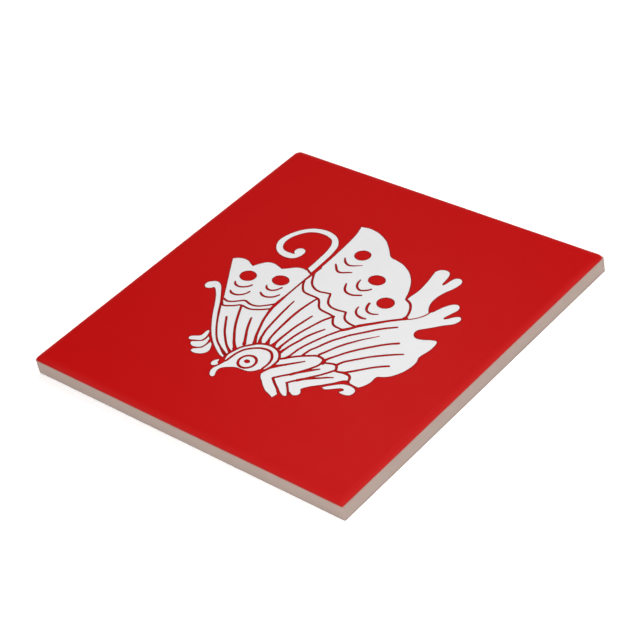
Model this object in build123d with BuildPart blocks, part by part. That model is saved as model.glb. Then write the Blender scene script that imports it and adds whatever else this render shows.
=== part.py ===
"""Square decorative wall tile, pressed from clay dust, glazed and fired as one piece.

Millimetres. The origin is the middle of the back, +Z points out through the glazed face,
and X and Y run along the sides. A tile of this kind is 4 1/4 in square.
"""

from build123d import *
import math
import os

# Overall body
tile_side = 107.95
tile_thickness = 5.5

# Cushion edge: the last of the glazed face rolls down on a large arc to the sides
cushion_width = 2.2
cushion_radius = 6.0

# The die leaves one small radius on the upright corners, the mitres and the glazed edge
arris_radius = 0.7

# Foot: the edge between the sides and the back
foot_chamfer = 0.15

# Keyed back: a waffle of shallow pockets that holds the adhesive
key_rim = 7.0  # plain land round the waffle
key_rib = 2.0  # land between two pockets
key_depth = 0.6
key_draft = 35.0  # lean of the pocket walls, in degrees
key_corner = 1.5
key_count = 7  # pockets along each side

# What follows from them
half_side = tile_side / 2
flat_end = half_side - cushion_width
roll_middle = (flat_end, tile_thickness - cushion_radius)
cushion_angle = math.degrees(math.asin(cushion_width / cushion_radius))
key_pitch = (tile_side - 2 * key_rim + key_rib) / key_count
key_pocket = key_pitch - key_rib

with BuildPart() as tile:
    # The pressed slab: one cushioned section run along X and along Y, and kept where both agree
    for section_plane, mode in ((Plane.XZ, Mode.ADD), (Plane.YZ, Mode.INTERSECT)):
        with BuildSketch(section_plane.offset(-half_side)):
            with BuildLine():
                roll = CenterArc(roll_middle, cushion_radius, 90, -cushion_angle)
                Polyline(roll @ 1, (half_side, 0), (0, 0), (0, tile_thickness), roll @ 0)
            make_face()
            mirror(about=Plane.YZ)
        extrude(amount=tile_side, mode=mode)

    # The arrises: four upright corners, four mitres above them and the four glazed edges
    uprights = tile.edges().filter_by(Axis.Z)
    mitres = tile.edges().filter_by(GeomType.ELLIPSE)
    cushion_faces = tile.faces().filter_by(GeomType.CYLINDER)
    glazed_edges = [face.edges().filter_by(GeomType.LINE).sort_by(Axis.Z)[0] for face in cushion_faces]
    fillet([*uprights, *mitres, *glazed_edges], radius=arris_radius)

    # The foot
    chamfer(tile.faces().sort_by(Axis.Z)[0].edges(), length=foot_chamfer)

    # The keyed back
    with BuildSketch(Plane.XY):
        with GridLocations(key_pitch, key_pitch, key_count, key_count):
            RectangleRounded(key_pocket, key_pocket, key_corner)
    extrude(amount=key_depth, taper=key_draft, mode=Mode.SUBTRACT)

tile.part.label = "tile"

os.makedirs("parts", exist_ok=True)
export_step(tile.part, "parts/tile.step")
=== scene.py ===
import math

import bmesh
import bpy
import numpy as np
from mathutils import Matrix, Vector, noise
from mathutils.geometry import delaunay_2d_cdt


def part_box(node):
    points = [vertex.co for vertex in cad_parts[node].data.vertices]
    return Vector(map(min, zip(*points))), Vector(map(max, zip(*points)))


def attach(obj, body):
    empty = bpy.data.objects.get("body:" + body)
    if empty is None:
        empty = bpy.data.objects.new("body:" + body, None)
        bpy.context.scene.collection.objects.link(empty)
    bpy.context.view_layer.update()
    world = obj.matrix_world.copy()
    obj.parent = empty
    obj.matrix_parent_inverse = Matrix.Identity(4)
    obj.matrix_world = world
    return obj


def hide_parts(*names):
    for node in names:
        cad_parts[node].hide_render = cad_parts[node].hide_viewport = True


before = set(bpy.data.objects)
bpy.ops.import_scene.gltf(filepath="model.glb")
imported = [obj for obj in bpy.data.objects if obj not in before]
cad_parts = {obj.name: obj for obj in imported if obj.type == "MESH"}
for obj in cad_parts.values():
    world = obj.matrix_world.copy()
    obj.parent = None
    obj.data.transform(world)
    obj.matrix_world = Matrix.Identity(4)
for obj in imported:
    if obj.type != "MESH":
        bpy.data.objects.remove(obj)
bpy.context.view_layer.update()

# Clay body: a slab of pink clay dust, pressed in a steel die and fired. Its sides stay bare, its foot is a
# little worn from handling, and its back is keyed with a waffle of shallow pockets that holds the adhesive.
mm = 0.001
face_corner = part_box("tile")[1]
tile_half = face_corner.x / mm
tile_top = face_corner.z / mm
glaze_edge = 1.03  # the glaze ends this far below the face
clay_inset = 0.035  # the bare side stands this far behind the glaze
clay_corners = (0.3, 0.7, 0.3, 0.3)  # radii of the uprights, anticlockwise from the right rear one
clay_relief = 0.03
clay_lap = 0.1  # the bare side goes on this far behind the glaze's edge
clay_shoulder = (0.5, 0.62)  # where the clay ends under the glaze: inset, depth below the face
side_rows = 10
row_height = 0.45
foot_rise = 0.15
foot_soft = 0.05
foot_blunt = 0.95  # size of the foot's bevel at the middle of the tile, as a share of foot_rise
foot_lean = 0.75  # it gains this share towards the left, and loses it towards the right
foot_wear = 1.6  # the relief is this many times as deep on the foot
key_rim = 7.0
key_rib = 2.0
key_depth = 0.6
key_draft = 0.42  # run of a pocket's wall, from mouth to floor
key_corner = 1.5
key_count = 7
side_steps = 216
corner_steps = 8
pocket_steps = 5
crease = math.radians(40)


def rounded_square(half, radii, height, along=1, around=corner_steps, middle=(0, 0)):
    """A ring round a square with rounded corners, anticlockwise, its straights cut into the given steps."""
    ring = []
    for corner, radius in enumerate(radii):
        turn = Matrix.Rotation(corner * math.pi / 2, 2)
        flat = half - radius
        run = flat + half - radii[(corner + 1) % 4]
        for step in range(around + 1):
            angle = step / around * math.pi / 2
            ring.append(turn @ Vector((flat + radius * math.cos(angle), flat + radius * math.sin(angle))))
        for step in range(1, along):
            ring.append(turn @ Vector((flat - run * step / along, half)))
    return [Vector((point.x + middle[0], point.y + middle[1], height)) for point in ring]


def skin(rings, first=0):
    """Quads between each ring and the next. Vertices are numbered on from first."""
    count = len(rings[0])
    return [
        (low + at, low + (at + 1) % count, low + count + (at + 1) % count, low + count + at)
        for low in range(first, first + count * (len(rings) - 1), count)
        for at in range(count)
    ]


def lid(points, count):
    """One face over the last ring of the points, which has this count of them."""
    return tuple(range(len(points) - count, len(points)))


def within(places, ring):
    """Tells which places lie inside a closed ring. A ring that crosses itself counts what it goes round."""
    start = ring[:, None]
    end = np.roll(ring, -1, axis=0)[:, None]
    run, reach = end - start, places[None] - start
    left = run[..., 0] * reach[..., 1] - run[..., 1] * reach[..., 0]
    rises = (start[..., 1] <= places[None, :, 1]) & (end[..., 1] > places[None, :, 1]) & (left > 0)
    falls = (start[..., 1] > places[None, :, 1]) & (end[..., 1] <= places[None, :, 1]) & (left < 0)
    return rises.sum(0) != falls.sum(0)


def cut_flat(layers, nearest=1e-6):
    """Cuts flat sheet along closed rings. Each layer is (kept, ring), and later ones cover earlier ones."""
    points, edges = [], []
    for _, ring in layers:
        first = len(points)
        points += [Vector(point[:2]) for point in ring]
        edges += [(first + at, first + (at + 1) % len(ring)) for at in range(len(ring))]
    points, _, triangles, *_ = delaunay_2d_cdt(points, edges, [], 0, nearest)
    flat = np.array([point[:] for point in points])
    middles = flat[np.array(triangles)].mean(axis=1)
    shown = np.zeros(len(triangles), bool)
    for kept, ring in layers:
        line = np.array([point[:2] for point in ring])
        near = np.flatnonzero(((middles >= line.min(0)) & (middles <= line.max(0))).all(axis=1))
        shown[near[within(middles[near], line)]] = kept
    return flat, [triangle for triangle, is_shown in zip(triangles, shown) if is_shown]


def fired(name, vertices, faces, weld=1e-4):
    """Makes a mesh in millimetres into a smooth-shaded piece of the tile, in metres."""
    mesh = bpy.data.meshes.new(name)
    mesh.from_pydata([Vector(vertex) * mm for vertex in vertices], [], faces)
    shaped = bmesh.new()
    shaped.from_mesh(mesh)
    bmesh.ops.remove_doubles(shaped, verts=shaped.verts, dist=weld * mm)
    loose = [vertex for vertex in shaped.verts if not vertex.link_faces]
    bmesh.ops.delete(shaped, geom=loose, context="VERTS")
    bmesh.ops.recalc_face_normals(shaped, faces=shaped.faces)
    shaped.to_mesh(mesh)
    shaped.free()
    mesh.shade_smooth()
    mesh.set_sharp_from_angle(angle=crease)
    piece = bpy.data.objects.new(name, mesh)
    bpy.context.scene.collection.objects.link(piece)
    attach(piece, "root")
    return piece


class Socket:
    """A value in a finish. Arithmetic on it adds Math nodes, and node() adds any other node."""

    def __init__(self, tree, link=None):
        self.tree, self.link = tree, link

    def node(self, kind, settings, inputs, output=0):
        made = self.tree.nodes.new(kind)
        for setting, value in settings.items():
            setattr(made, setting, value)
        for socket, value in inputs.items():
            if isinstance(value, Socket):
                self.tree.links.new(value.link, made.inputs[socket])
            else:
                is_colour = made.inputs[socket].type == "RGBA"
                made.inputs[socket].default_value = (*value, 1) if is_colour else value
        return Socket(self.tree, made.outputs[output] if made.outputs else None)

    def math(self, operation, *terms):
        return self.node("ShaderNodeMath", {"operation": operation}, dict(enumerate(terms)))

    def __add__(self, other):
        return self.math("ADD", self, other)

    def __sub__(self, other):
        return self.math("SUBTRACT", self, other)

    def __rsub__(self, other):
        return self.math("SUBTRACT", other, self)

    def __mul__(self, other):
        return self.math("MULTIPLY", self, other)

    __radd__, __rmul__ = __add__, __mul__

    def clip(self):
        return self.node("ShaderNodeClamp", {}, {"Value": self})

    def in_mm(self):
        """The x, y and z of a place in metres, in millimetres."""
        parts = [self.node("ShaderNodeSeparateXYZ", {}, {"Vector": self}, output=axis) for axis in "XYZ"]
        return [part * (1 / mm) for part in parts]

    def grain(self, place, size, detail=2.0, rough=0.5):
        """Noise with features of a size in millimetres, from 0 to 1."""
        values = {"Vector": place, "Scale": 1 / (size * mm), "Detail": detail, "Roughness": rough}
        return self.node("ShaderNodeTexNoise", {}, values)

    def tint(self, share, colour, other):
        """Mixes two colours, as far as share says."""
        values = {"Factor": share, 6: colour, 7: other}
        return self.node("ShaderNodeMix", {"data_type": "RGBA"}, values, output=2)


def finish(name):
    """An empty finish: its material, a Socket to build it with, and the place on the tile in metres."""
    material = bpy.data.materials.new(name)
    material.use_nodes = True
    tree = material.node_tree
    tree.nodes.clear()
    start = Socket(tree)
    place = start.node("ShaderNodeTexCoord", {}, {}, output="Object")
    return material, start, place


def coat_with(piece, material, start, inputs):
    """Ends a finish in a Principled shader with the given sockets, and gives the finish to its piece."""
    shader = start.node("ShaderNodeBsdfPrincipled", {}, inputs)
    start.node("ShaderNodeOutputMaterial", {}, {"Surface": shader})
    piece.data.materials.append(material)


clay_half = tile_half - clay_inset
soft_far, soft_near = 0.8 * foot_soft, 0.35 * foot_soft
clay_profile = [  # inset from the side, height
    (foot_rise, 0),
    (foot_rise - soft_far, soft_near),
    (soft_near, foot_rise - soft_far),
]
clay_profile += [(0, foot_rise + foot_soft + row * row_height) for row in range(side_rows)]
clay_profile += [(0, tile_top - glaze_edge + clay_lap), (clay_shoulder[0], tile_top - clay_shoulder[1])]
clay_rings = [rounded_square(clay_half, clay_corners, 1, side_steps) for _ in clay_profile]
for ring, (inset, level) in zip(clay_rings, clay_profile):
    for point in ring:
        blunt = foot_blunt - foot_lean * point.x / tile_half if level < foot_rise else 1
        shrink = 1 - inset * blunt / clay_half
        point.x, point.y, point.z = point.x * shrink, point.y * shrink, level * blunt
for ring in clay_rings[1:-2]:
    for point in ring:
        outward = Vector((point.x, point.y, 0)).normalized()
        wear = foot_wear if point.z < foot_rise else 1.0
        broad, fine = noise.noise(point * 0.9), noise.noise(point * 2.6)
        point -= outward * clay_relief * wear * (0.5 + 0.5 * broad + 0.35 * fine)

key_pitch = (2 * tile_half - 2 * key_rim + key_rib) / key_count
key_pocket = (key_pitch - key_rib) / 2
pocket_profile = (  # inset from the mouth, depth
    (0.0, 0.0),
    (0.05, 0.02),
    (0.1, 0.08),
    (key_draft - 0.08, key_depth - 0.1),
    (key_draft, key_depth - 0.03),
    (key_draft + 0.12, key_depth),
)
clay_faces = skin(clay_rings)
clay_points = [point for ring in clay_rings for point in ring]
clay_faces.append(lid(clay_points, len(clay_rings[0])))
land = [(True, clay_rings[0])]
for row in range(key_count):
    for column in range(key_count):
        middle = [(index - (key_count - 1) / 2) * key_pitch for index in (column, row)]
        pocket = [
            rounded_square(key_pocket - inset, [key_corner - inset] * 4, depth, 1, pocket_steps, middle)
            for inset, depth in pocket_profile
        ]
        clay_faces += skin(pocket, len(clay_points))
        clay_points += [point for ring in pocket for point in ring]
        clay_faces.append(lid(clay_points, len(pocket[0])))
        land.append((False, pocket[0]))
flat, triangles = cut_flat(land)
clay_faces += [tuple(len(clay_points) + at for at in triangle) for triangle in triangles]
clay_points += [Vector((*point, 0)) for point in flat]
clay_body = fired("clay_body", clay_points, clay_faces)

pink = (0.495, 0.372, 0.33)
buff = (0.535, 0.428, 0.376)
tan = (0.545, 0.418, 0.355)
chalk = (0.60, 0.505, 0.45)
rust = (0.36, 0.25, 0.2)
# The colour of the painted shade along the foot
painted_foot_shade = (0.27, 0.235, 0.21)
red_wash = (0.56, 0.12, 0.09)
shade_rise = 0.625  # painted shade darkens the foot up to here
shade_reach = 1.05  # and this far in from the side, on the back
wash_drop = 0.55  # the red wash starts this far below the glaze's edge
wash_rate = 1.8  # and gains this share of its strength per millimetre
material, start, place = finish("fired_clay")
grain = start.grain(place, 0.22, 3, 0.6)
mottle = start.grain(place, 3.5, 4, 0.6)
cloud = start.grain(place, 14, 2)
speck = start.grain(place, 0.5, 1)
x, y, z = place.in_mm()
reach = start.math("MAXIMUM", start.math("ABSOLUTE", x), start.math("ABSOLUTE", y))
# Painted shade: the foot darkens towards the floor, near the sides, where little light reaches it
foot_shaded = (1 - z * (1 / shade_rise)).clip() * (reach - tile_half + shade_reach).clip()
washed = ((z - (tile_top - glaze_edge - wash_drop)) * wash_rate).clip()
colour = start.tint(mottle, pink, buff)
colour = start.tint(cloud * 0.5, colour, tan)
colour = start.tint((grain * 2 - 0.9).clip() * 0.25, colour, chalk)
colour = start.tint((speck * 6 - 3.9).clip() * 0.35, colour, rust)
# Painted shade along the foot
colour = start.tint(foot_shaded * 0.6, colour, painted_foot_shade)
colour = start.tint(washed * washed * 0.45, colour, red_wash)
bump = {"Strength": 0.35, "Distance": 0.06 * mm, "Height": grain + mottle * 0.6}
relief = start.node("ShaderNodeBump", {}, bump, output="Normal")
bare = {"Base Color": colour, "Roughness": 0.9, "Specular IOR Level": 0.2, "Normal": relief}
coat_with(clay_body, material, start, bare)
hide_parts("tile")

# Red glaze: an opaque satin coat over the whole face. It rolls down over the cushioned edge and stops just
# past the arris, where the glaze was wiped off the sides before firing.
print_proud = 0.02
glaze_thickness = 0.24
cushion_width = 2.2
cushion_radius = 6.0
arris_radius = 0.7
glaze_corners = (1.5, 1.6, 0.8, 0.35)  # radii in plan, anticlockwise from the right rear one
glaze_waver = 0.05
arris_start = 0.06  # share of the arris that the lip takes the place of
arris_steps = 8
roll_steps = 10
glaze_top = tile_top - print_proud

# The arris touches the roll from inside, so its middle is one difference of radii from the roll's middle
roll_middle = (cushion_width, glaze_top - cushion_radius)
touch = math.acos((cushion_width - arris_radius) / (cushion_radius - arris_radius))
arris_middle = (arris_radius, roll_middle[1] + (cushion_radius - arris_radius) * math.sin(touch))


def on_arc(middle, radius, angle):
    """A point of the section on an arc, by its angle up from the side, as (inset from the side, height)."""
    return middle[0] - radius * math.cos(angle), middle[1] + radius * math.sin(angle)


def glaze_profile(thinner):
    """Section of the glazed face from its edge to the flat, taken in by thinner."""
    section = []
    for step in range(arris_steps + 1):
        angle = touch * (arris_start + (1 - arris_start) * step / arris_steps)
        section.append(on_arc(arris_middle, arris_radius - thinner, angle))
    for step in range(1, roll_steps + 1):
        angle = touch + (math.pi / 2 - touch) * step / roll_steps
        section.append(on_arc(roll_middle, cushion_radius - thinner, angle))
    return section


outside = glaze_profile(0)
inside = glaze_profile(glaze_thickness)[::-1]
lip_level = tile_top - glaze_edge
lip = [(0.2, lip_level + 0.03), (0.1, lip_level), (0.02, lip_level + 0.02), (0.004, lip_level + 0.06)]
lip_shares = (0.5, 1, 1, 1, 0.5)  # how far each ring of the lip wavers
glaze_rings = [
    rounded_square(tile_half - inset, glaze_corners, level, side_steps)
    for inset, level in inside + lip + outside
]
for ring, share in zip(glaze_rings[len(inside):], lip_shares):
    for point in ring:
        point.z += glaze_waver * share * (noise.noise(point * 0.35) + 0.5 * noise.noise(point * 1.3))
glaze_faces = skin(glaze_rings)
glaze_points = [point for ring in glaze_rings for point in ring]
glaze_faces.append(tuple(range(len(glaze_rings[0]))))
glaze_faces.append(lid(glaze_points, len(glaze_rings[0])))
red_glaze = fired("red_glaze", glaze_points, glaze_faces, weld=1e-5)


def satin_coat(name, dark, light, shine):
    """A finish for the fired coat: its colour a little cloudy, its sheen uneven, and a slight orange peel."""
    material, start, place = finish(name)
    peel = start.grain(place, 1.6, 1) + start.grain(place, 5, 1) * 2
    bump = {"Strength": 0.25, "Distance": 0.02 * mm, "Height": peel}
    inputs = {
        "Base Color": start.tint(start.grain(place, 10, 2), dark, light),
        "Roughness": 0.37 + 0.08 * start.grain(place, 4, 2),
        "Specular IOR Level": shine,
        "Normal": start.node("ShaderNodeBump", {}, bump, output="Normal"),
    }
    return material, start, place, inputs


# A painted highlight makes the rolls lighter, most at the front and right, and the clay shows through the
# glaze's lip
painted_sheen_red, lip_red = (0.536, 0.0125, 0.0125), (0.5, 0.12, 0.09)
sheen_roll_rate, sheen_front_rate, lip_rate = 3.3, 0.05, 2.2  # how fast each tint sets in, per millimetre
material, start, place, inputs = satin_coat("red_glaze", (0.505, 0.001, 0.001), (0.52, 0.0015, 0.0015), 0.05)
x, y, z = place.in_mm()
sheen_on_roll = start.math("SQRT", (glaze_top - z) * sheen_roll_rate).clip()
sheen_toward_front = ((x - y) * sheen_front_rate + 0.5).clip()
at_lip = (1 - (z - lip_level) * lip_rate).clip()
# Painted highlight on the rolls, strongest at the front and right
inputs["Base Color"] = start.tint(sheen_on_roll * sheen_toward_front, inputs["Base Color"], painted_sheen_red)
inputs["Base Color"] = start.tint(at_lip * 0.4, inputs["Base Color"], lip_red)
coat_with(red_glaze, material, start, inputs)

# Printed crest: a white heraldic butterfly, screened onto the glaze as one thin coat of enamel and fired
# flush with it. The red lines within it are gaps in the print. The glaze creeps a little over the print's
# edge, and a darker red line runs along it.
print_depth = 0.05
edge_creep = 0.13
rim_width = 0.3
rim_sunk = 0.01
line_width = 0.5
border_width = 0.42
arc_start, arc_width, arc_end = 0.25, 0.45, 0.35
curve_step = 0.25
cap_steps = 8
spot_steps = 48


def smooth(points):
    """A round line through given points, as centripetal Catmull-Rom. A point may carry a width too."""
    line = np.array(points, float)
    if len(line) == 2:
        return [tuple(point) for point in line]
    line = np.vstack([2 * line[0] - line[1], line, 2 * line[-1] - line[-2]])
    gaps = np.sqrt(np.linalg.norm(np.diff(line[:, :2], axis=0), axis=1))
    drawn = []
    for at in range(1, len(line) - 2):
        before, start, end, after = line[at - 1:at + 3]
        gap_before, gap, gap_after = gaps[at - 1:at + 2]
        leave = (start - before) / gap_before - (end - before) / (gap_before + gap) + (end - start) / gap
        arrive = (end - start) / gap - (after - start) / (gap + gap_after) + (after - end) / gap_after
        leave, arrive = leave * gap, arrive * gap
        steps = max(1, round(float(np.hypot(*(end - start)[:2])) / curve_step))
        for share in np.arange(steps) / steps:
            turn = 2 * start - 2 * end + leave + arrive
            bend = 3 * (end - start) - 2 * leave - arrive
            drawn.append(tuple(start + share * (leave + share * (bend + share * turn))))
    return drawn + [tuple(line[-2])]


def shape(*runs):
    """A closed outline of smooth runs that meet at corners. Each goes on from the end of the one before."""
    ring = smooth(runs[0])
    for run in runs[1:]:
        ring += smooth([ring[-1], *run])[1:]
    return ring


def stroke(points, width=line_width):
    """A line with round ends. Its points give the width where it changes."""
    line = np.array(smooth([(*point, width)[:3] for point in points]))
    middle, half = line[:, :2], line[:, 2:] / 2
    along = np.gradient(middle, axis=0)
    along /= np.linalg.norm(along, axis=1)[:, None]
    aside = np.column_stack([-along[:, 1], along[:, 0]])
    turns = np.linspace(0, math.pi, cap_steps + 1)[1:-1, None]
    first_cap = middle[0] + half[0] * (-np.cos(turns) * aside[0] - np.sin(turns) * along[0])
    last_cap = middle[-1] + half[-1] * (np.cos(turns) * aside[-1] + np.sin(turns) * along[-1])
    return [*(middle + half * aside), *last_cap, *(middle - half * aside)[::-1], *first_cap]


def arc(points):
    """A thin line that swells from a point."""
    widths = [arc_start, *[arc_width] * (len(points) - 2), arc_end]
    return stroke([(*point, width) for point, width in zip(points, widths)])


def spot(x, y, across, up=None):
    """An ellipse by its half-widths."""
    turns = np.linspace(0, 2 * math.pi, spot_steps + 1)[:-1]
    return [(x + across * math.cos(turn), y + (up or across) * math.sin(turn)) for turn in turns]


def spread(layers, reach):
    """Moves the edges of kept rings outwards and those of the others inwards, by the same reach."""
    moved = []
    for kept, ring in layers:
        line = np.array([point[:2] for point in ring])
        ahead, behind = np.roll(line, -1, axis=0), np.roll(line, 1, axis=0)
        along = (ahead - behind) / np.linalg.norm(ahead - behind, axis=1)[:, None]
        area = np.sum(line[:, 0] * ahead[:, 1] - ahead[:, 0] * line[:, 1])
        outward = np.column_stack([along[:, 1], -along[:, 0]]) * np.sign(area)
        moved.append((kept, line + outward * (reach if kept else -reach)))
    return moved


def enamel(name, layers, top):
    """A thin slab of enamel cut along rings, let into the glaze."""
    flat, triangles = cut_flat(layers)
    count = len(flat)
    faces = [tuple(triangle) for triangle in triangles]
    faces += [tuple(count + at for at in reversed(triangle)) for triangle in triangles]
    sides = {(start, end) for a, b, c in triangles for start, end in ((a, b), (b, c), (c, a))}
    faces += [(end, start, count + start, count + end) for start, end in sides if (end, start) not in sides]
    points = [(*point, top) for point in flat] + [(*point, tile_top - print_depth) for point in flat]
    return fired(name, points, faces, weld=1e-5)


# Wings, body and legs in one white figure, clockwise from the tip of the left wing
figure = shape(
    [(-35.1, 4.6), (-34.2, 5.4), (-32.9, 6.0), (-31.5, 6.15), (-30.1, 5.95), (-29.0, 5.4), (-27.6, 4.8)],
    [(-26.9, 6.0), (-25.0, 8.05), (-22.8, 8.5), (-20.6, 8.05), (-19.4, 7.7)],
    [(-18.0, 8.7), (-16.2, 10.1), (-14.1, 10.6), (-12.2, 10.2), (-10.2, 9.7)],
    [(-10.08, 13), (-10.18, 19), (-10.53, 25), (-11.05, 29.5), (-12.05, 33.0)],
    [(-9.0, 33.5), (-5, 32.8), (-1.2, 30.95), (0, 29.95), (1.7, 28.45), (2.75, 27.4), (3.75, 26.4),
     (4.8, 25.87), (6.2, 25.72), (8.9, 25.17), (10.95, 24.3), (13, 23.05), (15.6, 20.5), (17.9, 16.7),
     (18.9, 14.1)],
    [(19.5, 14.1)],
    [(19.55, 15), (19.95, 18), (19.7, 22), (19.05, 25.5), (18.95, 26.6), (19.3, 27.6), (20.2, 28.3),
     (21.4, 28.6), (22.5, 28.3), (23.22, 27.5), (23.58, 26.3), (23.78, 24.6), (23.9, 23.5), (24.2, 23.1),
     (24.5, 23.5), (24.75, 24.7), (25.1, 26.2), (25.6, 27.0), (26.4, 27.4), (27.3, 27.3), (28.0, 26.7),
     (28.3, 25.7), (27.8, 23.2), (26.7, 20.7), (26.05, 17.8), (26.3, 15.2), (27.4, 13.0), (28.2, 12.1)],
    [(28.88, 13), (30.0, 15.8), (31.45, 17.85), (32.4, 18.35), (33.3, 18.3), (34.05, 17.6), (34.28, 16.6),
     (33.72, 14.78), (33.13, 13.1), (32.95, 12.3), (33.2, 12.0), (33.7, 12.35), (34.4, 13.2), (35.3, 14.2),
     (36.2, 14.7), (36.9, 14.5), (37.4, 13.5), (36.8, 11.7), (34.65, 9.77), (32.12, 7.2), (30.12, 5.27),
     (29.83, 4.3), (30.1, 3.4), (30.9, 2.65), (32, 2.45), (33.9, 2.95), (34.9, 3.5), (35.95, 3.87),
     (36.95, 4.04), (37.45, 3.6), (37.7, 2.7), (37.8, 1.4), (37.7, 0), (37.1, -2.4), (37.0, -3.4)],
    [(37.6, -5), (37.65, -7), (36.85, -10), (35.2, -12.6), (33.75, -13.7), (32.4, -14.35)],
    [(32.2, -15.2), (32.3, -16.7), (31.95, -18), (31.4, -19.2), (30.65, -20.0)],
    [(27.0, -19.8)],
    [(26.5, -19.35), (25.3, -20.1), (24.3, -21.4), (22.97, -22.72), (22.0, -23.7), (21.1, -24.5),
     (19.8, -25.6), (18.6, -26.97), (18.2, -27.67)],
    [(18.98, -28.43), (19.27, -29.2), (19.0, -29.9), (18.05, -30.45), (17.1, -30.3), (16.3, -29.8)],
    [(16.9, -31.3)],
    [(16.1, -31.85), (14.8, -31.5), (13.3, -30.7)],
    [(14.1, -31.8), (14.2, -32.4), (13.8, -33.8)],
    [(12.0, -33.15), (10.6, -32.7), (8.7, -31.55), (7.2, -30.35), (5.8, -29.3), (5.1, -28.2), (5.2, -26.8)],
    [(4, -24)],
    [(-7, -26)],
    [(-8.1, -27.6)],
    [(-10, -26.6), (-12, -25.5), (-14.3, -24.0), (-16.95, -21.5), (-19.6, -18.4), (-22.1, -14.95),
     (-24.05, -12.0), (-24.9, -10.3)],
    [(-28.1, -5.6), (-32, 0.05), (-35.1, 4.6)],
)
upper_feeler = stroke([
    (-12.0, 10.5, 2.2), (-12.1, 15, 2.2), (-12.45, 20, 2.25), (-13.17, 22.72, 2.2), (-14.93, 24.87, 1.9),
    (-17.15, 25.82, 1.95), (-19.7, 26.1, 1.92), (-22.2, 25.62, 1.85), (-24.53, 24.37, 1.8),
    (-26.43, 22.15, 1.88), (-27.6, 19.6, 2.0), (-27.8, 17.2, 2.2), (-26.7, 14.95, 2.1),
    (-24.95, 13.65, 2.05), (-22.5, 13.2, 2.3), (-20.2, 13.7, 2.15), (-19.45, 15.1, 2.2),
])
upper_feeler_ball = spot(-20.05, 15.93, 1.7, 1.57)
lower_feeler = stroke([
    (-32.67, -7.33, 3.0), (-31.45, -6.55, 2.95), (-30.3, -6.7, 2.1), (-27.87, -8.97, 1.55),
    (-25.43, -11.98, 1.55), (-22.7, -15.85, 1.45), (-20.1, -19.05, 1.5), (-17.1, -22.25, 1.5),
    (-14.45, -24.6, 1.3), (-11.93, -26.33, 1.12), (-9.5, -27.7, 0.9), (-8.5, -28.05, 0.75),
])
head = shape([
    (-7.2, -28.8), (-7.75, -27.05), (-7.5, -25.7), (-6.9, -23.6), (-6.2, -22.2), (-4.7, -20.7), (-3.4, -19.5),
    (-2.1, -18.9), (-0.9, -18.5), (0.7, -18.4), (2.2, -18.7), (3.7, -19.5), (5.0, -20.95), (5.5, -22.3),
    (5.6, -23.9), (5.35, -25.3), (4.85, -26.6), (4.2, -26.9), (3.75, -27.2), (3.05, -28.15), (2.05, -29),
    (0.7, -29.45), (-1.2, -29.55), (-2.7, -29.8), (-4.05, -30.5), (-5.2, -31.3), (-5.8, -32.05),
    (-5.9, -33.1), (-5.5, -34.0), (-5.1, -34.8), (-5.3, -35.4), (-6.2, -35.5), (-7.1, -34.8),
    (-7.6, -33.8), (-7.6, -32.6), (-7.1, -31.3), (-6.7, -29.9), (-6.6, -29.0), (-7.2, -28.8),
])
palp = shape([
    (-8.7, -29.4), (-9.4, -30.2), (-9.7, -31.0), (-9.35, -31.95), (-8.7, -32.2), (-7.85, -31.75),
    (-7.45, -30.85), (-8.1, -30.4), (-8.3, -29.5), (-8.7, -29.4),
])
toes = [
    shape([
        (-19.4, -21.85), (-18.95, -21.95), (-18.5, -22.6), (-18.2, -23.3), (-17.95, -24.3), (-17.95, -25.3),
        (-18.2, -25.95), (-19.0, -26.5), (-20.1, -26.95), (-21.2, -27.35), (-21.85, -27.25), (-22.15, -26.65),
        (-21.9, -26.0), (-20.95, -25.35), (-19.85, -24.65), (-19.65, -23.7), (-19.7, -22.5), (-19.4, -21.85),
    ]),
    shape([
        (-17.6, -24.0), (-16.8, -24.2), (-16.3, -25.2), (-16, -26.5), (-16.2, -27.8), (-16.9, -28.5),
        (-18.3, -29), (-19.3, -28.9), (-20.1, -28.4), (-20.3, -27.7), (-19.6, -27.2), (-18.4, -26.5),
        (-17.7, -25.9), (-17.5, -24.9), (-17.6, -24.0),
    ]),
    shape([
        (-15.6, -25.3), (-14.8, -25.6), (-13.9, -26.7), (-13.3, -28.1), (-13.5, -29.2), (-14.3, -30.1),
        (-15.6, -30.7), (-16.9, -30.9), (-18, -30.5), (-17.9, -29.8), (-16.9, -28.9), (-16, -28.2),
        (-15.7, -27.05), (-15.6, -26), (-15.6, -25.3),
    ]),
]
spur = shape([
    (22.5, -24.4), (23.3, -24.8), (24.6, -24.2), (25.9, -23.2), (27.1, -22.4), (27.8, -22.3), (28.1, -22.7),
    (27.4, -23.6), (27.8, -23.9), (29.4, -23.9), (30.65, -23.4), (31.15, -22.4), (31.05, -21.4),
    (30.3, -20.75), (28.8, -20.4), (27.5, -20.5), (26.3, -20.9), (24.9, -21.95), (23.6, -23.15),
    (22.8, -24.0), (22.5, -24.4),
])
white_shapes = [figure, upper_feeler, upper_feeler_ball, lower_feeler, head, palp, *toes, spur]

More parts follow.
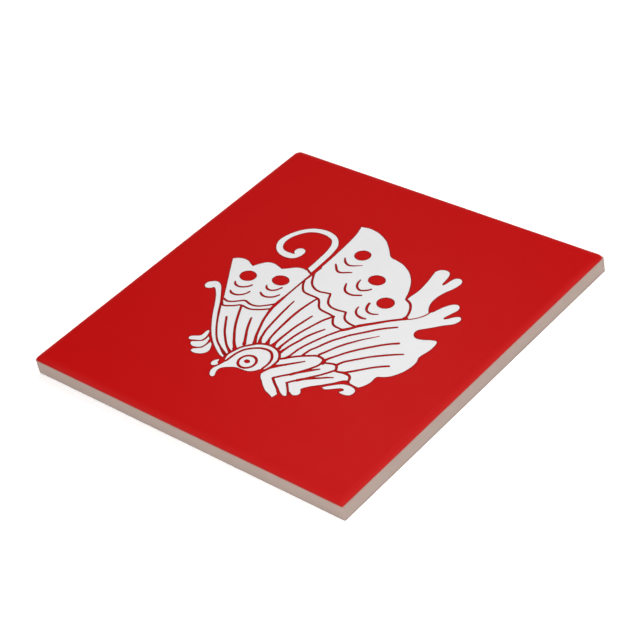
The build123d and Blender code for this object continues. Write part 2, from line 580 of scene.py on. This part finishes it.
# Spots on the wings, as middle and half-widths, and the two arcs that hang below each
wing_spots = [
    spot(-3.25, 22.95, 2.38, 2.05),
    spot(7.22, 16.26, 2.52, 1.95),
    spot(15.45, 9.8, 2.5, 2.13),
    spot(-25.77, 0.82, 2.5, 2.06),
    spot(-16.25, 3.6, 2.6, 1.93),
]
wing_arcs = [
    stroke([(-6.85, 19.7, 0.25), (-6.0, 18.7, 0.43), (-5.0, 18.0, 0.45), (-3.8, 17.75, 0.45),
            (-2.6, 18.1, 0.35), (-1.4, 18.8, 0.22), (-0.5, 19.4, 0.1)]),
    stroke([(-7.4, 16.4, 0.25), (-6.4, 15.4, 0.43), (-5.3, 14.4, 0.45), (-4.2, 14.1, 0.45),
            (-3.2, 14.4, 0.43), (-2.1, 15.1, 0.38), (-1.1, 15.6, 0.25)]),
    arc([(3.15, 14.2), (3.3, 13.2), (3.9, 11.9), (4.8, 11.1), (5.9, 10.75), (7.0, 11.2), (7.8, 11.8),
         (8.3, 12.5)]),
    arc([(0.75, 11.2), (1.25, 10.15), (2.1, 8.95), (3.2, 8.25), (4.6, 8.1), (5.8, 8.3), (6.8, 8.8),
         (7.6, 9.2)]),
    stroke([(11.7, 7.6, 0.6), (12.0, 6.4, 0.6), (12.6, 5.3, 0.5), (13.4, 4.7, 0.43), (14.4, 4.45, 0.43),
            (15.5, 4.6, 0.4), (16.6, 5.15, 0.25)]),
    stroke([(10.1, 5.0, 0.25), (10.3, 4.0, 0.4), (10.9, 3.0, 0.45), (11.8, 2.3, 0.45), (12.8, 2.0, 0.55),
            (13.8, 1.9, 0.6), (14.9, 2.1, 0.35)]),
    arc([(-27.3, -2.8), (-26.7, -3.5), (-25.6, -3.93), (-24.4, -3.87), (-23.2, -3.27), (-22.35, -2.5),
         (-22.0, -1.75)]),
    arc([(-25.8, -6.4), (-25.1, -6.9), (-24.2, -7.12), (-23.0, -7.0), (-21.9, -6.4), (-21.0, -5.4),
         (-20.65, -4.25)]),
    arc([(-18.3, 0.1), (-17.6, -0.7), (-16.7, -1.05), (-15.6, -0.9), (-14.6, -0.2), (-13.8, 1.3)]),
    arc([(-17.8, -3.0), (-16.8, -3.6), (-15.6, -3.8), (-14.25, -3.48), (-13.15, -2.7), (-12.35, -1.4)]),
]

# Scalloped borders, two lines to each wing
borders = [
    stroke([(-25, -9.9), (-24.2, -10.15), (-23.2, -10.25), (-22.4, -10.0), (-21.4, -9.4), (-20.4, -8.6),
            (-19.6, -7.95), (-18.9, -7.75), (-18.2, -7.9), (-17.3, -8.15), (-16.3, -8.25), (-15.4, -8.15),
            (-14.4, -7.85), (-13.5, -7.3), (-12.7, -6.65), (-11.6, -5.7), (-10.8, -4.8)], border_width),
    stroke([(-24.2, -11.4), (-23.5, -12.1), (-22.9, -12.15), (-22.1, -11.85), (-21.0, -11.3),
            (-19.95, -10.6), (-19.2, -9.93), (-18.5, -9.75), (-17.5, -9.8), (-16.5, -9.9), (-15.4, -9.82),
            (-14.3, -9.45), (-13.2, -8.9), (-12.2, -8.3), (-11.2, -7.6), (-10.5, -6.95)], border_width),
    stroke([(-10.15, 11.5), (-9.92, 10.3), (-9.15, 8.9), (-8.1, 7.25), (-7.05, 6.2), (-5.85, 5.5),
            (-4.6, 5.1), (-3.3, 5.05), (-2.2, 5.3), (-1.2, 5.5), (-0.35, 5.7)], border_width),
    stroke([(-0.35, 5.7), (0.08, 5.2), (0.57, 4.2), (1.15, 3.2), (1.9, 2.3), (3.0, 1.65), (4.2, 1.35),
            (5.5, 1.3), (6.8, 1.45), (8.0, 1.65), (8.5, 1.7)], border_width),
    stroke([(8.5, 1.7), (8.85, 1.15), (9.4, 0.12), (10.3, -0.75), (11.5, -1.3), (12.8, -1.55),
            (14.4, -1.6)], border_width),
    stroke([(-10.3, 6.7), (-9.82, 5.65), (-8.97, 4.45), (-8.05, 3.47), (-7.1, 2.87), (-6.0, 2.7),
            (-4.5, 2.65), (-3.0, 2.62), (-2.0, 2.5), (-1.2, 2.07), (-0.45, 1.3), (0.27, 0.35),
            (1.0, -0.35), (2.0, -0.75), (3.3, -0.9), (4.6, -1.0), (5.8, -1.15), (6.65, -1.3),
            (7.22, -2.05), (7.9, -2.95), (8.7, -3.77), (9.65, -4.18), (10.8, -4.3), (11.8, -4.3),
            (12.5, -4.25)], border_width),
]

# Veins, which run from the borders down to the head and the legs
veins = [
    stroke([(-24.6, -10.9), (-24.05, -12), (-22.1, -14.95), (-19.6, -18.4), (-16.95, -21.5), (-14.3, -24.0),
            (-12, -25.4), (-9.9, -26.4), (-8.0, -27.25)], 0.34),
    stroke([(-18.9, -15.4, 0.4), (-17.03, -17.83, 0.45), (-15.06, -20.26, 0.42), (-13.08, -22.18, 0.42),
            (-11.2, -23.83, 0.42), (-10.15, -24.58, 0.47), (-8.77, -25.4, 0.6), (-8.1, -25.75, 0.85)]),
    stroke([(-18.5, -9.8, 0.5), (-17, -12.5, 0.5), (-15, -15.8, 0.5), (-13, -18.6, 0.5),
            (-11.2, -20.7, 0.52), (-9.8, -22.3, 0.6), (-8.4, -23.6, 0.75), (-7.85, -24.2, 1.1)]),
    stroke([(-12.55, -12.45, 0.35), (-11.2, -15.05, 0.5), (-10.0, -17.05, 0.5), (-9.1, -18.3, 0.55),
            (-8.23, -19.53, 0.6), (-7.38, -20.73, 0.65), (-6.85, -21.55, 0.9)]),
    stroke([(-10.19, 13, 0.97), (-10.28, 9.8, 0.72), (-10.48, 6, 0.42), (-10.48, -0.2, 0.45),
            (-10.52, -3.8, 0.87), (-10.32, -6.7, 0.78), (-9.53, -9.9, 0.55), (-9.02, -11.5, 0.55),
            (-7.77, -14.33, 0.55), (-6.4, -17.2, 0.6), (-5.6, -18.5, 0.65), (-5.0, -19.4, 0.8),
            (-4.75, -19.8, 1.0)]),
    stroke([(-6.95, -1.6, 0.3), (-6.72, -4.9, 0.45), (-6.44, -8.05, 0.5), (-6.07, -11, 0.5),
            (-5.58, -14.2, 0.5), (-5.0, -16.2, 0.5), (-4.35, -17.9, 0.6), (-3.75, -18.85, 0.85),
            (-3.55, -19.1, 1.05)]),
    stroke([(-2.1, 2.3, 0.45), (-2.68, -0.7, 0.5), (-3.04, -3.8, 0.6), (-3.14, -7, 0.63), (-3.0, -9.9, 0.6),
            (-2.77, -13.4, 0.5), (-2.4, -16, 0.52), (-2.0, -17.3, 0.62), (-1.7, -18.0, 0.95),
            (-1.6, -18.2, 1.1)]),
    stroke([(1.6, -4, 0.4), (1.1, -6.5, 0.5), (0.55, -9.6, 0.5), (0.3, -12.9, 0.55), (0.22, -15, 0.6),
            (0.27, -17.2, 0.78), (0.34, -18.12, 1.35)]),
    stroke([(6.9, -1.3, 0.55), (6.52, -1.75, 0.55), (5.37, -3.8, 0.55), (4.42, -6.5, 0.5), (3.5, -9.6, 0.5),
            (2.8, -12.9, 0.55), (2.5, -16.3, 0.52), (2.48, -17.7, 0.65), (2.65, -18.55, 0.85)]),
    stroke([(8.15, -6.6, 0.4), (6.9, -8.8, 0.5), (5.9, -11, 0.55), (5.2, -13.6, 0.55), (4.5, -16, 0.52),
            (4.2, -17.7, 0.6), (4.0, -18.8, 0.8), (3.95, -19.3, 0.9)]),
    stroke([(12.1, -5, 0.55), (10.4, -8.05, 0.5), (9.3, -10.5, 0.5), (8.2, -13.3, 0.5), (7.4, -16, 0.5),
            (7.15, -18, 0.5), (7.05, -19.15, 0.5), (6.8, -19.97, 0.5), (6.37, -20.7, 0.5),
            (5.85, -21.2, 0.65)]),
    stroke([(24.1, 7.0, 0.7), (22.7, 5.9, 0.67), (21.1, 4.58, 0.67), (19.43, 3.02, 0.75),
            (17.87, 1.52, 0.78), (16.35, 0.1, 0.88), (15.15, -1.1, 0.92), (14.47, -2.07, 0.82),
            (13.55, -3.35, 0.82), (12.35, -4.5, 0.95)]),
    stroke([(24.5, 3.45, 0.45), (22.3, 1.8, 0.5), (20.4, 0.1, 0.55), (18.6, -1.9, 0.55), (17, -3.6, 0.55),
            (15.4, -5.4, 0.55), (14.1, -7.3, 0.55), (13.05, -8.8, 0.55), (12, -10.9, 0.55),
            (11.1, -13.1, 0.5), (10.25, -14.9, 0.5), (9.9, -17.2, 0.58)]),
    stroke([(22.6, -1.7, 0.1), (21.5, -2.9, 0.18), (19.6, -4.9, 0.32), (18.2, -6.7, 0.45),
            (16.7, -8.8, 0.52), (15.55, -10.8, 0.5), (14.52, -13, 0.52), (13.6, -15, 0.6)]),
    stroke([(28.9, -1.45, 0.6), (27.05, -2.75, 0.55), (25.3, -4.28, 0.55), (23.4, -6.2, 0.55),
            (21.8, -7.9, 0.55), (20.3, -9.68, 0.53), (19.2, -11.15, 0.53), (17.97, -13.12, 0.5),
            (16.85, -14.95, 0.6), (16.4, -15.9, 0.7)]),
    stroke([(32.65, -4.25, 0.35), (30.37, -5.73, 0.5), (27.87, -7.57, 0.5), (25.78, -9.28, 0.5),
            (23.93, -11.13, 0.5), (22.4, -12.7, 0.5), (21.2, -14, 0.55), (20.5, -15.3, 0.6),
            (20.27, -16.0, 0.75)]),
    stroke([(32.35, -9.68, 0.5), (30.63, -10.83, 0.5), (28.82, -12.37, 0.5), (27, -14.2, 0.5),
            (25.68, -15.55, 0.55), (24.58, -16.65, 0.6), (23.7, -17.35, 0.5)]),
]

# Lines where the tail feathers, the legs and the head meet the wings
joins = [
    stroke([(28.4, 13), (28.08, 11.2), (27.48, 9.93), (26.55, 8.7), (25.43, 7.67), (24.4, 7.1)], 0.22),
    spot(24.1, 7.3, 0.65),
    stroke([(19.2, 13.95), (19.5, 13.6), (20.1, 13.35), (21.22, 12.85), (22.37, 11.68), (23.35, 9.97),
            (23.9, 8.2), (23.9, 7.2)]),
    stroke([(-13, 10.9), (-11.8, 10.3), (-10.5, 9.8)], 0.45),
    stroke([(5.85, -21.15), (6.7, -20.57), (7.33, -19.83), (8.85, -18.48), (10.7, -17.2), (12, -16.4),
            (13.25, -15.73), (14.8, -15.67), (15.95, -16.1), (16.3, -17.3)]),
    stroke([(16.3, -17.3), (16.2, -18.3), (15.6, -19.6), (14.7, -21.1), (13.5, -22.8), (12.1, -24.6),
            (10.9, -25.8), (9.8, -27), (9.0, -27.95)]),
    stroke([(9.0, -27.97, 0.5), (10.67, -29.2, 0.48), (12.65, -30.46, 0.5), (13.27, -30.92, 0.58),
            (14.28, -31.65, 0.7)]),
    stroke([(12.0, -18.95, 0.25), (10.2, -20.7, 0.5), (8.12, -22.7, 0.6), (7.17, -23.6, 0.72),
            (6.3, -24.35, 1.05), (5.7, -25.3, 0.75), (5.2, -26.8, 0.5)]),
    spot(16.35, -16.45, 0.55),
    spot(16.7, -17.3, 0.4),
    stroke([(16.35, -17.1), (17.1, -16.8), (17.85, -16.5), (18.7, -16.22), (19.5, -16.02), (20.25, -16.15),
            (20.85, -16.7), (21.2, -17.3), (21.35, -17.8)]),
    stroke([(21.1, -18), (20.2, -19.4), (19, -21.1), (17.9, -22.4), (16.9, -23.6), (15.4, -25.2),
            (14.1, -26.7), (13.4, -27.6)]),
    stroke([(13.45, -27.57, 0.43), (14.87, -28.92, 0.4), (16.15, -30.25, 0.43), (16.85, -31.1, 0.5)]),
    stroke([(17.4, -19.4, 0.3), (15.9, -20.7, 0.6), (14.6, -21.9, 0.75), (13.3, -23.2, 0.7),
            (12.2, -24.6, 0.8)]),
    stroke([(21.4, -17.9, 0.5), (22.5, -17.75, 0.5), (23.6, -17.42, 0.65), (24.85, -17.37, 0.6),
            (25.75, -17.57, 0.5), (26.38, -18.05, 0.5), (26.78, -18.73, 0.5), (26.95, -19.3, 0.5)]),
    stroke([(22.63, -20.12, 0.2), (21.17, -20.98, 0.42), (19.57, -22.12, 0.45), (18.05, -23.1, 0.58),
            (16.5, -24.2, 0.67), (15.2, -25.5, 0.8)]),
    stroke([(26.8, -19.35), (27.8, -20.0), (29.2, -20.22), (30.4, -20.33), (31.0, -20.5)], 0.45),
    stroke([(-8.0, -28.5), (-8.05, -27.1), (-7.87, -26.1), (-7.57, -25.0), (-7.23, -24.03), (-6.83, -23.13),
            (-6.3, -22.3), (-5.45, -21.4), (-4.5, -20.45), (-3.75, -19.7), (-2.75, -19.2), (-1.7, -18.78),
            (-0.8, -18.6), (0.2, -18.55), (1.73, -18.72), (3.07, -19.14), (4.24, -19.96), (5.13, -21.06),
            (5.64, -22.18), (5.77, -23.5), (5.65, -24.95), (5.25, -26.2), (4.8, -28.3)]),
    stroke([(-6.5, -28.9), (-6.35, -27.1), (-6.2, -25.8), (-5.95, -24.9), (-5.58, -23.9), (-5.0, -22.97),
            (-4.1, -22.12), (-3.0, -21.3), (-1.75, -20.65), (-0.8, -20.4), (0.1, -20.28), (1.47, -20.44),
            (2.49, -21.04), (3.35, -21.92), (3.94, -22.93), (4.2, -24.0), (4.25, -25.2), (4.13, -26.3),
            (4.25, -27.35)]),
]
red_shapes = wing_spots + wing_arcs + borders + veins + joins
eye_middle = (-1.26, -26.5)
eye = [
    (False, spot(*eye_middle, 2.76, 2.65)),
    (True, spot(*eye_middle, 2.24, 2.13)),
    (False, spot(-1.4, -26.4, 0.8, 0.57)),
]

crest = [(True, ring) for ring in white_shapes] + [(False, ring) for ring in red_shapes] + eye
crest_print = enamel("crest_print", spread(crest, -edge_creep), tile_top)
crest_rim = enamel("crest_rim", spread(crest, rim_width - edge_creep), tile_top - rim_sunk)

material, start, place, inputs = satin_coat("white_enamel", (0.785, 0.778, 0.778), (0.815, 0.812, 0.82), 0.12)
coat_with(crest_print, material, start, inputs)
material, start, place, inputs = satin_coat("dark_rim", (0.265, 0.002, 0.002), (0.285, 0.003, 0.003), 0.05)
coat_with(crest_rim, material, start, inputs)

# Studio: a white cove with a plain floor that whitens away from the tile and rises into a low wall far off,
# three soft lamps in front, at the right and behind, and an even pale sky.
cove_profile = ((6.65, 2.2), (6.6, 1.1), (6.45, 0.6), (6.1, 0.25), (5.6, 0.06), (5.0, 0.0), (3.0, 0.0))
cove_sides = 96
cove_grey = (0.9, 0.9, 0.9)
pure_white = (1, 1, 1)
floor_glow = 0.4
fade_start = 0.12  # the floor starts to whiten this far from the tile's middle, in metres
fade_rate = 5  # and gains this share of white per metre
sky_strength = 0.25
cove_turns = [math.tau * turn / cove_sides for turn in range(cove_sides)]
cove_rings = [
    [(radius * math.cos(turn), radius * math.sin(turn), height) for turn in cove_turns]
    for radius, height in cove_profile
]
cove_points = [point for ring in cove_rings for point in ring]
mesh = bpy.data.meshes.new("cove")
mesh.from_pydata(cove_points, [], [*skin(cove_rings), lid(cove_points, cove_sides)])
mesh.shade_smooth()
cove = bpy.data.objects.new("cove", mesh)
bpy.context.scene.collection.objects.link(cove)

material, start, place = finish("white_cove")
rays = [f"Is {ray} Ray" for ray in ("Camera", "Glossy", "Transmission")]
by_camera, by_gloss, by_glass = [start.node("ShaderNodeLightPath", {}, {}, output=ray) for ray in rays]
seen = (by_camera + by_gloss + by_glass).clip()
metres_off = start.node("ShaderNodeVectorMath", {"operation": "LENGTH"}, {0: place}, output="Value")
far_off = ((metres_off - fade_start) * fade_rate).clip()
plain = start.node("ShaderNodeBsdfDiffuse", {}, {"Color": cove_grey})
glow = start.node("ShaderNodeEmission", {}, {"Color": pure_white, "Strength": floor_glow})
white = start.node("ShaderNodeEmission", {}, {"Color": pure_white, "Strength": 1})
lit = start.node("ShaderNodeAddShader", {}, {0: plain, 1: glow})
backdrop = start.node("ShaderNodeMixShader", {}, {0: far_off, 1: lit, 2: white})
shown = start.node("ShaderNodeMixShader", {}, {0: seen, 1: plain, 2: backdrop})
start.node("ShaderNodeOutputMaterial", {}, {"Surface": shown})
cove.data.materials.append(material)

world = bpy.data.worlds.new("pale_sky")
bpy.context.scene.world = world
world.use_nodes = True
world.node_tree.nodes["Background"].inputs["Color"].default_value = (*pure_white, 1)
world.node_tree.nodes["Background"].inputs["Strength"].default_value = sky_strength


def soft_lamp(name, azimuth, elevation, distance, size, watts):
    """A square lamp that looks at the tile. Azimuth goes from the front to the right, in degrees."""
    turn, rise = math.radians(azimuth), math.radians(elevation)
    toward = Vector((math.sin(turn) * math.cos(rise), -math.cos(turn) * math.cos(rise), math.sin(rise)))
    light = bpy.data.lights.new(name, "AREA")
    light.size = size
    light.energy = watts
    lamp = bpy.data.objects.new(name, light)
    lamp.location = toward * distance
    lamp.rotation_euler = toward.to_track_quat("Z", "Y").to_euler()
    bpy.context.scene.collection.objects.link(lamp)


soft_lamp("key_lamp", azimuth=22.5, elevation=43.6, distance=0.45, size=0.2, watts=0.935)
soft_lamp("side_lamp", azimuth=121, elevation=44.7, distance=0.6, size=0.3, watts=1.55)
soft_lamp("sheen_lamp", azimuth=223, elevation=53, distance=0.45, size=0.16, watts=0.42)

# Camera: where the photograph's one stood, found from the four corners of the tile, which it sees from above
# with a long lens and a slight roll. Its place is in sides of the tile, from the middle of the plane of those
# corners, and its azimuth goes from the front to the right.
side = 2 * tile_half * mm
corner_drop = 0.85  # from the face down to that plane
camera_place = Vector((2.78942, -2.49995, 2.87173))
azimuth, elevation, roll = math.radians(48.0842), math.radians(37.8932), math.radians(-12.1248)
frame_pixels = 644
focal_pixels = 1932.88
sensor_width = 36
camera = bpy.data.objects.new("camera", bpy.data.cameras.new("camera"))
camera.data.sensor_width = sensor_width
camera.data.lens = sensor_width * focal_pixels / frame_pixels
camera.data.clip_end = 100
origin = Vector((0, 0, (tile_top - corner_drop) * mm))
turned = Matrix.Rotation(azimuth, 4, "Z")
turned @= Matrix.Rotation(math.pi / 2 - elevation, 4, "X")
turned @= Matrix.Rotation(roll, 4, "Z")
camera.matrix_world = Matrix.Translation(origin + camera_place * side) @ turned
bpy.context.scene.collection.objects.link(camera)
bpy.context.scene.camera = camera
bpy.context.scene.view_settings.view_transform = "Standard"
